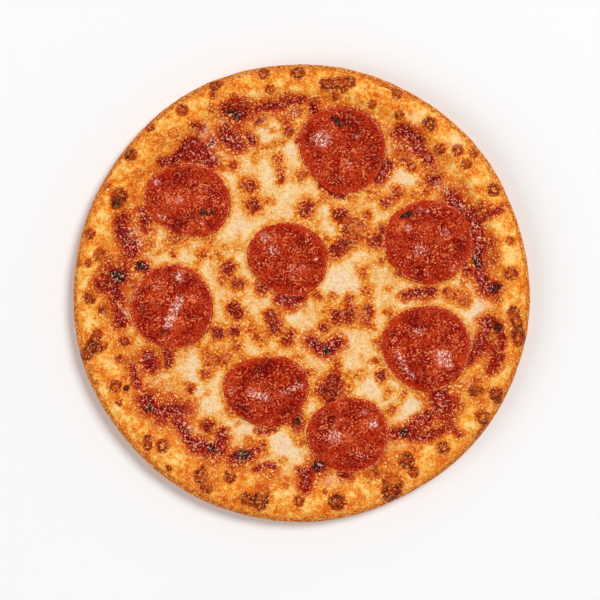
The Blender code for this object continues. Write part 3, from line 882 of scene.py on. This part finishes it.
def sauce_material():
    n = Nodes("tomato_sauce")
    mid, grains, grit = n.noise(5, 3), n.noise(2.3, 2, 0.55, 5.7, 0.3), n.noise(1.3, 1, 0.5, 9.3, 0.2)
    sharp, vary = n.noise(1.45, 1, 0.5, 12.9, 0.2), n.noise(3.4, 2, 0.6, 4.4)
    tiny = n.noise(1.0, 1, 0.5, 6.1, 0.3)
    spread = n.plus(n.steps(grains, 0.36, 0.64, -0.45, 0.45), n.steps(grit, 0.38, 0.62, -0.45, 0.45))
    tone = n.plus(n.plus(0.72, n.times(n.plus(mid, -0.5), 1.1)), n.times(spread, 0.12))
    colour = n.ramp(tone, *SAUCE_RED)
    char = n.field("char")
    char = n.plus(char, n.times(spread, n.times(n.steps(char, 0.0, 0.4), 0.12)))
    colour = n.mix(n.steps(char, 0.25, 0.9), colour, (0.035, 0.008, 0.006))
    # painted shade in dark pits and painted highlights on light specks of the wet sauce
    painted_pit_shade = n.math("MAXIMUM", n.steps(sharp, 0.41, 0.34), n.times(n.steps(tiny, 0.42, 0.35), 0.85))
    colour = n.mix(n.times(painted_pit_shade, 0.6), colour, (0.12, 0.002, 0.002))
    painted_sparkle = n.times(n.steps(sharp, 0.60, 0.67), n.steps(vary, 0.36, 0.62, 0.40, 1.0))
    painted_sparkle = n.math("MAXIMUM", painted_sparkle, n.times(n.steps(tiny, 0.59, 0.65), 0.75))
    colour = n.mix(painted_sparkle, colour, (0.95, 0.42, 0.27))
    height = n.plus(n.plus(n.times(grains, 0.7), n.times(grit, 0.4)), n.times(sharp, 0.6))
    n.set(
        Base_Color=colour,
        Roughness=0.18,
        Specular_IOR_Level=0.04,
        Normal=n.bump(height, 1.0),
    )
    return n.material


def meat_material():
    n = Nodes("pepperoni")
    big, mid = n.noise(11, 3), n.noise(4.0, 3, 0.6, 2.2)
    grains, grit = n.noise(2.0, 2, 0.6, 6.6, 0.6), n.noise(1.25, 1, 0.5, 7.7, 0.3)
    sharp, vary = n.noise(1.22, 1, 0.5, 4.9, 0.4), n.noise(6.5, 2, 0.6, 8.8)
    tiny = n.noise(0.95, 1, 0.5, 3.7, 0.4)
    glint, lip, fold = n.field("glint"), n.field("lip"), n.field("fold")
    fold = n.plus(fold, -0.5)
    tone = n.plus(0.43, n.times(n.plus(big, -0.5), 1.3))
    tone = n.plus(tone, n.times(n.plus(mid, -0.5), 0.6))
    wild = n.plus(n.steps(grains, 0.36, 0.64, -0.10, 0.10), n.steps(grit, 0.38, 0.62, -0.08, 0.08))
    wild = n.plus(wild, n.times(fold, 0.46))
    tone = n.plus(tone, n.times(wild, n.steps(lip, 0.2, 0.9, 1.0, 0.7)))
    # lighter and darker parts of each slice: partly the meat's own tone, partly painted light and shade
    tone = n.plus(tone, n.times(n.field("tone"), 0.46))
    # lighter where a painted highlight lies (glint), and on the lip
    tone = n.plus(tone, n.plus(n.times(glint, 0.12), n.times(lip, 0.10)))
    tone = n.plus(tone, n.times(n.field("char"), -0.35), clamp=True)
    colour = n.ramp(
        tone,
        (0.00, (0.17, 0.002, 0.001)),
        (0.18, (0.26, 0.004, 0.001)),
        (0.36, (0.36, 0.011, 0.001)),
        (0.52, (0.45, 0.024, 0.002)),
        (0.68, (0.54, 0.044, 0.005)),
        (0.84, (0.63, 0.075, 0.016)),
        (1.00, (0.78, 0.160, 0.065)),
    )
    # the lip is smoother and a purer orange red
    colour = n.mix(n.times(n.steps(lip, 0.3, 1.0), 0.5), colour, (0.52, 0.030, 0.002))
    # painted highlight: a soft pale sheen over each glint
    colour = n.mix(n.times(n.steps(glint, 0.10, 0.90), 0.30), colour, (0.86, 0.34, 0.24))
    # painted highlight: light specks along the slice's edge
    colour = n.mix(n.times(n.field("edge"), n.steps(tiny, 0.52, 0.58)), colour, (0.98, 0.50, 0.32))
    # darker casing at the very edge and down the side, partly painted shade there
    colour = n.mix(n.field("rimline"), colour, (0.36, 0.016, 0.002))
    open_meat = n.steps(lip, 0.9, 0.3, 0.40, 1.0)
    # painted highlights: light specks on the crests of grains and wrinkles, more where lit and on the glints
    lit = n.steps(n.plus(vary, n.times(n.field("tone"), 0.14)), 0.40, 0.62)
    ridge = n.times(fold, 0.20)
    crest = n.times(n.steps(n.plus(ridge, tiny), 0.585, 0.645), 0.95)
    crest = n.math("MAXIMUM", crest, n.steps(n.plus(ridge, sharp), 0.62, 0.69))
    painted_sparkle = n.times(crest, n.plus(n.plus(0.26, n.times(lit, 0.84)), n.times(glint, 0.9)))
    colour = n.mix(
        n.times(n.math("MINIMUM", painted_sparkle, 1.0), open_meat),
        colour,
        n.mix(n.steps(glint, 0.05, 0.9), (0.88, 0.24, 0.100), (1.0, 0.72, 0.64)),
    )
    # painted shade in dark pits between the grains, more where lit
    painted_pit_shade = n.math("MAXIMUM", n.steps(sharp, 0.40, 0.33), n.times(n.steps(tiny, 0.41, 0.34), 0.85))
    painted_pit_shade = n.times(painted_pit_shade, n.times(open_meat, n.plus(0.50, n.times(lit, 0.38))))
    colour = n.mix(painted_pit_shade, colour, (0.15, 0.002, 0.001))
    char = n.field("char")
    char = n.times(char, n.plus(0.35, n.plus(n.times(grains, 0.6), n.times(mid, 0.7))))
    char = n.plus(char, n.times(n.plus(sharp, -0.5), n.steps(char, 0.1, 0.5, 0.0, 1.2)))
    char = n.steps(char, 0.42, 0.84)
    colour = n.mix(char, colour, (0.026, 0.013, 0.007))
    # painted highlights: lighter specks on the burnt places
    colour = n.mix(n.times(n.times(char, n.steps(tiny, 0.56, 0.62)), 0.5), colour, (0.34, 0.16, 0.08))
    height = n.plus(n.plus(n.times(grains, 0.7), n.times(grit, 0.4)), n.times(sharp, 0.5))
    height = n.times(height, n.plus(0.3, n.times(open_meat, 0.7)))
    n.set(
        Base_Color=colour,
        Roughness=n.steps(glint, 0.0, 1.0, 0.24, 0.16),
        Specular_IOR_Level=0.03,
        Normal=n.bump(height, 1.0),
    )
    return n.material


def char_material():
    n = Nodes("burnt")
    fine, sharp = n.noise(2.6, 3, 0.6), n.noise(1.3, 1, 0.5, 2.9)
    colour = n.mix(n.steps(fine, 0.38, 0.64), (0.016, 0.007, 0.006), (0.080, 0.022, 0.015))
    # painted highlights: grey specks on the burnt bits
    colour = n.mix(n.times(n.steps(sharp, 0.57, 0.70), 0.6), colour, (0.36, 0.24, 0.21))
    n.set(
        Base_Color=colour,
        Roughness=0.35,
        Specular_IOR_Level=0.15,
        Normal=n.bump(n.plus(fine, n.times(sharp, 0.5)), 0.8),
    )
    return n.material


BAKED = baked_material("melted_cheese")
DOUGH = baked_material("baked_dough", side=True)
SAUCE = sauce_material()
MEAT = meat_material()
BURNT = char_material()


# ------------------------------------------------------------------------- crust
def make_crust():
    """Rings of points from the middle of the floor over the rim and round to
    the middle of the underside."""
    count = 880
    angle = np.arange(count) * math.tau / count
    rows = []                                    # (radius, height, kind) per ring
    for r in (12, 30, 50, 66, 78, 86):
        rows.append((r, None, 0))
    for r in np.arange(90.0, RIM_CREST_RADIUS + 0.01, 0.62):
        rows.append((r, None, 0))
    for i in range(1, 27):
        a = math.radians(90 - 90 * i / 26)
        rows.append(
            (
                RIM_CREST_RADIUS + (PIZZA_RADIUS - RIM_CREST_RADIUS) * math.cos(a) ** 0.92,
                SIDE_HEIGHT + (RIM_HEIGHT - SIDE_HEIGHT) * max(0.0, math.sin(a)) ** 0.92,
                1,
            )
        )
    for i in range(1, 13):
        a = math.radians(90 * i / 12)
        rows.append(
            (
                BASE_RADIUS + (PIZZA_RADIUS - BASE_RADIUS) * math.cos(a),
                SIDE_HEIGHT * (1 - math.sin(a)),
                2,
            )
        )
    for r in (115.5, 113.5, 111, 108, 104, 99, 92, 82, 70, 55, 38, 20):
        rows.append((r, 0.0, 3))
    points, side, bare, toast = [], [], [], []
    for r0, z0, kind in rows:
        shift = outline_shift(angle) * smooth((r0 - RIM_CREST_RADIUS) / 6.0)
        if kind == 3:
            shift = outline_shift(angle) * smooth((r0 - 108.0) / 8.0)
        r = r0 + shift
        x, y = r * np.cos(angle), r * np.sin(angle)
        if kind == 0:
            z = crust_top(x, y)
        else:
            z = np.full(count, z0)
            if kind == 1:
                z = SIDE_HEIGHT + (z - SIDE_HEIGHT) * (rim_height(angle) - SIDE_HEIGHT) / (
                    RIM_HEIGHT - SIDE_HEIGHT
                )
        points.append(np.stack([x, y, z], 1))
        bare.append(np.full(count, {0: 0.0, 1: 0.0, 2: 1.0, 3: 1.0}[kind]))
    points = np.array(points)
    kinds = np.array([k for _, _, k in rows])
    flat = points.reshape(-1, 3)
    x, y, z = flat.T
    kind = np.repeat(kinds, count)
    r = np.hypot(x, y)
    f = bake(x, y)
    # outward push on the side, and lift on the top beyond the crest
    steep = smooth((r - RIM_CREST_RADIUS) / 9.0) * (kind < 3)
    lumps = 0.34 * fbm(x, y, 9.0, 3, 43, z=z) + 0.16 * fbm(x, y, 2.4, 3, 44, z=z)
    push = lumps * steep * np.where(kind == 2, smooth(z / 3.5), 1.0)
    grow = 1 + push / np.maximum(r, 1.0)
    x2, y2 = x * grow, y * grow
    lift = np.where(kind == 1, dough_relief(x, y) * (1 - steep), 0.0)
    on_top = (kind == 0) | ((kind == 1) & (z > SIDE_HEIGHT))
    facing = np.where(kind == 0, 1.0, smooth((z - SIDE_HEIGHT - 1.0) / 4.0))
    seen = smooth((r - 92.0) / 6.0)
    z2 = z + lift + np.where(on_top, f["dome"] * facing * seen, 0.0)
    z2 = np.where(kind == 0, z2 - 0.25 * f["red"] * seen, z2)
    z2 = z2 + np.where(on_top, 0.07 * fbm(x, y, 1.8, 2, 45) * facing * seen, 0.0)
    z2 = np.minimum(z2, 17.85)
    z2 = np.where(kind == 3, 0.0, np.maximum(z2, 0.0))
    # the underside rests on the floor; away from its edge it bulges up a hair
    under = (kind == 3) & (r < 110)
    z2 = np.where(under, np.clip(0.25 * fbm(x, y, 12.0, 3, 46), 0.0, 0.3), z2)
    ripple = 0.9 * fbm(x, y, 5.0, 3, 47, z=z)
    bare = np.where(kind >= 2, 1.0, np.where(kind == 1, smooth((r + ripple - 120.6) / 2.6), 0.0))
    toast = np.where(kind >= 2, 0.15 + 0.75 * smooth((3.2 - z) / 3.2), 0.0)
    toast = toast + 0.25 * np.clip(fbm(x, y, 11.0, 3, 49, z=z), 0, 1) * (kind >= 1)
    toast = np.where(kind == 3, 0.75 * smooth((r - 108.0) / 9.0), toast)
    top_only = np.where(kind == 0, 1.0, np.where(kind == 1, 1.0, 0.0))
    points = np.stack([x2, y2, z2], 1)
    total = len(points)
    points = np.concatenate([points, [[0, 0, FLOOR_TOP], [0, 0, 0.1]]])
    faces = []
    ring = np.arange(count)
    after = np.roll(ring, -1)
    for k in range(len(rows) - 1):
        a, b = k * count, (k + 1) * count
        faces.append(np.stack([a + ring, b + ring, b + after, a + after], 1))
    last = (len(rows) - 1) * count
    top_fan = np.stack([np.full(count, total), ring, after], 1)
    low_fan = np.stack([np.full(count, total + 1), last + after, last + ring], 1)
    pad = lambda v, low=0.0: np.concatenate([v, [0.0, low]])
    fields = {
        "brown": pad(f["brown"] * top_only),
        "red": pad(f["red"] * top_only * (1 - bare)),
        "pale": pad(f["pale"] * top_only * (1 - f["brown"])),
        "bright": pad(f["bright"] * top_only),
        "gold": pad(np.where((r > 112) | (kind == 3), 1.0, f["gold"]), 1.0),
        "milky": pad(f["milky"] * top_only),
        "soot": pad(f["soot"] * top_only),
        "stain": pad(f["stain"] * top_only * (1 - 0.6 * smooth((r - 106) / 8))),
        "bare": pad(bare * (1 - f["brown"] * top_only), 1.0),
        "toast": pad(toast),
        "low": pad(np.where(kind >= 1, smooth((SIDE_HEIGHT + 4.5 - z) / 6.0), 0.0), 1.0),
        "under": pad(np.where(kind == 3, smooth((117.0 - r) / 4.0), 0.0), 1.0),
    }
    return build("crust_skin", points, faces + [top_fan, low_fan], fields, DOUGH, "baked_dough", "crust")


# ------------------------------------------------------------------------ cheese
def make_cheese():
    share, angle, faces, edge = disc_grid(296)
    r = share * 109.5
    x, y = r * np.cos(angle), r * np.sin(angle)
    f = bake(x, y)
    z = cheese_surface(x, y, f)
    top = np.stack([x, y, z], 1)
    ex, ey, ez = top[edge].T
    below = [np.stack([ex, ey, np.minimum(ez, crust_top(ex, ey)) - 0.7], 1)]
    for s in (0.93, 0.86, 0.45):
        below.append(np.stack([ex * s, ey * s, dough_top(np.hypot(ex * s, ey * s), 0.0) + 0.5], 1))
    points = np.concatenate([top, *below, [[0, 0, FLOOR_TOP + 0.5]]])
    more, fan = close_below(len(top), edge, len(below))
    extra = len(points) - len(top)
    fields = {
        k: np.concatenate([f[k], np.zeros(extra)])
        for k in ("brown", "red", "pale", "bright", "gold", "stain", "milky", "soot")
    }
    return build("cheese_layer", points, [faces, *more, fan], fields, BAKED, "melted_cheese", "cheese")


def make_sauce():
    share, angle, faces, edge = disc_grid(250)
    r = share * 111.0
    x, y = r * np.cos(angle), r * np.sin(angle)
    f = bake(x, y)
    z = sauce_surface(x, y, f)
    top = np.stack([x, y, z], 1)
    ex, ey, ez = top[edge].T
    below = [np.stack([ex, ey, np.minimum(ez, crust_top(ex, ey)) - 0.7], 1)]
    for s in (0.93, 0.86, 0.45):
        below.append(np.stack([ex * s, ey * s, dough_top(np.hypot(ex * s, ey * s), 0.0) + 0.2], 1))
    points = np.concatenate([top, *below, [[0, 0, FLOOR_TOP + 0.2]]])
    more, fan = close_below(len(top), edge, len(below))
    extra = len(points) - len(top)
    char = soft_marks(x, y, [(px, py, size * 1.5, 1.0) for px, py, size in BURNT_BITS], 0.2, 1.4)
    char = np.maximum(char, f["brown"] * 0.6)
    fields = {"char": np.concatenate([char, np.zeros(extra)])}
    return build("sauce_layer", points, [faces, *more, fan], fields, SAUCE, "tomato_sauce", "sauce")


# --------------------------------------------------------------- pepperoni slices
def slice_radius(radii, angle):
    n = len(radii)
    total = sum(radii) / n
    for k in range(1, n // 2):
        c = 2.0 / n * sum(v * math.cos(k * i * math.tau / n) for i, v in enumerate(radii))
        s = 2.0 / n * sum(v * math.sin(k * i * math.tau / n) for i, v in enumerate(radii))
        total = total + c * np.cos(k * angle) + s * np.sin(k * angle)
    return total


def folds(x, y, number):
    """Wrinkles in loops, like those of a fingertip: -1 to 1, about 1.3 mm
    apart, coming and going in patches."""
    cx, cy, radii = list(SLICES.values())[number - 1]
    turn, far = np.arctan2(y - cy, x - cx), np.hypot(x - cx, y - cy)
    share = far / slice_radius(radii, turn)
    path = 5.0 * fbm(x, y, 8.0, 2, 150 + number) + far * 0.22
    here = np.clip(0.55 + 2.0 * fbm(x, y, 9.0, 2, 170 + number), 0.1, 1)
    return np.cos(path * math.tau) * here * (1 - smooth((share - 0.76) / 0.14))


def slice_height(x, y, share, number):
    """Top of a slice: a slight cup, lumps of the meat, wrinkles, a rounded lip."""
    base = crust_top(x, y) + cheese_cover(x, y)
    cx, cy, radii = list(SLICES.values())[number - 1]
    turn = np.arctan2(y - cy, x - cx)
    curl = 0.62 + 0.35 * np.sin(turn * 2 + number * 1.7) + 0.2 * np.sin(turn * 3 + number)
    inner = 1 - smooth((share - 0.80) / 0.16)
    z = base + 1.30 + curl * smooth((share - 0.40) / 0.6)
    z = z + inner * (0.45 * fbm(x, y, 8.0, 2, 70 + number) + 0.22 * fbm(x, y, 2.6, 3, 90 + number))
    z = z + inner * 0.10 * fbm(x, y, 1.3, 2, 110 + number)
    z = z + 0.075 * folds(x, y, number) * (1 - smooth((share - 0.90) / 0.06))
    edge = np.clip((share - 0.90) / 0.10, 0, 1)
    return z - 1.25 * (1 - np.sqrt(np.maximum(0.0, 1 - edge ** 2.6)))


def make_slice(name, number):
    cx, cy, radii = SLICES[name]
    share, angle, faces, edge = disc_grid(150)
    share = 1 - (1 - share) ** 1.15
    wobble = 1 + 0.006 * np.sin(angle * 7 + number) + 0.005 * np.sin(angle * 11 + 2 * number)
    reach = share * slice_radius(radii, angle) * (1 + (wobble - 1) * share)
    x, y = cx + reach * np.cos(angle), cy + reach * np.sin(angle)
    z = slice_height(x, y, share, number)
    # painted highlights on the slice (glint), also raised a little below
    glint = soft_marks(x, y, GLINTS, 0.1, 1.3)
    char = soft_marks(x + 1.3 * fbm(x, y, 2.6, 3, 136), y + 1.3 * fbm(x, y, 2.6, 3, 137), SLICE_CHAR, 0.1, 1.5)
    z = z + 0.35 * glint * (share < 0.9) - 0.25 * char
    lip = smooth((share - 0.80) / 0.16 + 0.7 * fbm(x, y, 5.0, 2, 130))
    # painted highlight: a dotted light line just inside the edge, where lit
    lit = np.clip(0.55 + 1.6 * fbm(x, y, 11.0, 2, 131), 0, 1)
    rim = smooth((share - 0.945) / 0.02) * (1 - smooth((share - 0.985) / 0.012)) * lit
    # darker casing at the very edge and down the side, partly painted shade there
    rimline = smooth((share - 0.98) / 0.015)
    # lighter and darker parts of each slice: partly the meat's own tone, partly painted light and shade
    tone = soft_marks(x, y, MEAT_LIGHTER_AND_LIT, 0.1, 1.5) - soft_marks(x, y, MEAT_DARKER_AND_SHADED, 0.1, 1.5)
    top = np.stack([x, y, z], 1)
    ex, ey, ez = top[edge].T
    ground = crust_top(ex, ey) + cheese_cover(ex, ey)
    ring = len(edge)
    below = [
        np.stack([cx + (ex - cx) * 0.992, cy + (ey - cy) * 0.992, np.minimum(ez, ground + 0.5)], 1),
        np.stack([cx + (ex - cx) * 0.97, cy + (ey - cy) * 0.97, ground - 0.45], 1),
        np.stack([cx + (ex - cx) * 0.5, cy + (ey - cy) * 0.5, ground - 0.45], 1),
    ]
    gx, gy = np.array([cx]), np.array([cy])
    mid = (crust_top(gx, gy) + cheese_cover(gx, gy))[0] - 0.45
    points = np.concatenate([top, *below, [[cx, cy, mid]]])
    more, fan = close_below(len(top), edge, len(below))
    extra = 3 * ring + 1
    tail = lambda v, fill: np.concatenate([v, np.full(extra, fill)])
    fields = {
        "glint": tail(glint, 0.0),
        "char": tail(char, 0.0),
        "lip": tail(lip, 1.0),
        "edge": tail(rim, 0.0),
        "tone": tail(tone, 0.0),
        "fold": tail(0.5 + 0.5 * folds(x, y, number), 0.5),
        "rimline": tail(rimline, 1.0),
    }
    return build(name + "_slice", points, [faces, *more, fan], fields, MEAT, "pepperoni", name)


# -------------------------------------------------------------------- burnt bits
def make_bits():
    """Small uneven flakes, joined into one mesh."""
    rng = np.random.default_rng(19)
    steps, bands = 14, 7
    points, quads, tris, count = [], [], [], 0
    tops = {name: i for i, name in enumerate(SLICES)}
    for px, py, size in BURNT_BITS:
        cx, cy = from_photo(px, py)
        one = np.array([cx]), np.array([cy])
        f = bake(*one)
        level = max(cheese_surface(*one, f)[0], sauce_surface(*one, f)[0], crust_top(*one)[0])
        for name, number in tops.items():
            sx, sy, radii = SLICES[name]
            d, a = math.hypot(cx - sx, cy - sy), math.atan2(cy - sy, cx - sx)
            share = d / slice_radius(radii, np.array([a]))[0]
            if share < 0.97:
                level = slice_height(*one, np.array([share]), number)[0]
        length, width, tall = size * PX * 0.34, size * PX * rng.uniform(0.18, 0.28), 0.2 + 0.06 * size * PX
        turn, lean = rng.uniform(0, math.pi), rng.uniform(-0.25, 0.25, 2)
        phi = np.linspace(0, math.pi, bands + 1)[1:-1]
        theta = np.arange(steps) * math.tau / steps
        p, t = np.meshgrid(phi, theta, indexing="ij")
        bx = np.concatenate([[0], (np.sin(p) * np.cos(t)).ravel(), [0]])
        by = np.concatenate([[0], (np.sin(p) * np.sin(t)).ravel(), [0]])
        bz = np.concatenate([[1], np.cos(p).ravel(), [-1]])
        seed = int(rng.integers(1, 9999))
        swell = 1 + 0.7 * fbm(bx * 1.3 + 7, by * 1.3, 0.9, 3, seed, 0.6, z=bz * 1.3)
        lx, ly, lz = bx * swell * length, by * swell * width, bz * swell * tall
        lz = lz + lean[0] * lx + lean[1] * ly
        qx = cx + lx * math.cos(turn) - ly * math.sin(turn)
        qy = cy + lx * math.sin(turn) + ly * math.cos(turn)
        points.append(np.stack([qx, qy, level + 0.1 + lz], 1))
        i = np.arange(steps)
        j = np.roll(i, -1)
        last = 1 + (bands - 2) * steps
        tris.append(count + np.stack([np.zeros(steps, int), 1 + i, 1 + j], 1))
        tris.append(count + np.stack([np.full(steps, last + steps), last + j, last + i], 1))
        for k in range(bands - 2):
            a, b = 1 + k * steps, 1 + (k + 1) * steps
            quads.append(count + np.stack([a + i, b + i, b + j, a + j], 1))
        count += len(bx)
    return build("burnt_bits", np.concatenate(points), [np.concatenate(quads), np.concatenate(tris)], {}, BURNT, None)


make_crust()
make_cheese()
make_sauce()
for number, name in enumerate(SLICES, 1):
    make_slice(name, number)
make_bits()


# ------------------------------------------------------- floor, light and camera
def make_floor():
    mesh = bpy.data.meshes.new("floor")
    s = 4.0
    mesh.from_pydata([(-s, -s, 0), (s, -s, 0), (s, s, 0), (-s, s, 0)], [], [(0, 1, 2, 3)])
    n = Nodes("floor")
    tone = n.noise(400, 2)
    n.set(Base_Color=n.mix(tone, (0.92, 0.92, 0.92), (0.95, 0.95, 0.95)), Roughness=0.9, Specular_IOR_Level=0.1)
    mesh.materials.append(n.material)
    floor = bpy.data.objects.new("floor", mesh)
    bpy.context.scene.collection.objects.link(floor)
    floor.location.z = -0.0002


def soft_light(name, place, size, power, colour=(1, 1, 1)):
    light = bpy.data.lights.new(name, "AREA")
    light.shape = "DISK"
    light.size = size
    light.energy = power
    light.color = colour
    obj = bpy.data.objects.new(name, light)
    bpy.context.scene.collection.objects.link(obj)
    obj.location = place
    from mathutils import Vector

    obj.rotation_euler = (-Vector(place)).to_track_quat("-Z", "Y").to_euler()


def make_world():
    """A pale room, lighter low down than overhead."""
    world = bpy.data.worlds.new("soft")
    bpy.context.scene.world = world
    world.use_nodes = True
    tree = world.node_tree
    back = tree.nodes["Background"]
    where = tree.nodes.new("ShaderNodeTexCoord")
    split = tree.nodes.new("ShaderNodeSeparateXYZ")
    level = tree.nodes.new("ShaderNodeMapRange")
    tree.links.new(where.outputs["Generated"], split.inputs[0])
    tree.links.new(split.outputs[2], level.inputs[0])
    for socket, value in zip(level.inputs[1:], (0.1, 0.95, 0.80, 0.09)):
        socket.default_value = value
    tree.links.new(level.outputs[0], back.inputs["Strength"])
    back.inputs["Color"].default_value = (1, 1, 1, 1)


make_floor()
make_world()
soft_light("key", (1.85, 1.55, 3.92), 1.8, 134.0)
soft_light("fill", (-3.40, -1.25, 2.90), 3.3, 69.0)

camera = bpy.data.cameras.new("camera")
camera.sensor_width = 36.0
DISTANCE = 1.2
VIEW = 600 * PX * MM
camera.lens = 36.0 * (DISTANCE - 0.010) / VIEW
camera.clip_start, camera.clip_end = 0.05, 20.0
eye = bpy.data.objects.new("camera", camera)
bpy.context.scene.collection.objects.link(eye)
look = from_photo(300, 300)
eye.location = (look[0] * MM, look[1] * MM, DISTANCE)
eye.rotation_euler = (0.0, 0.0, 0.0)
bpy.context.scene.camera = eye
bpy.context.scene.view_settings.view_transform = "Standard"
bpy.context.scene.view_settings.look = "None"
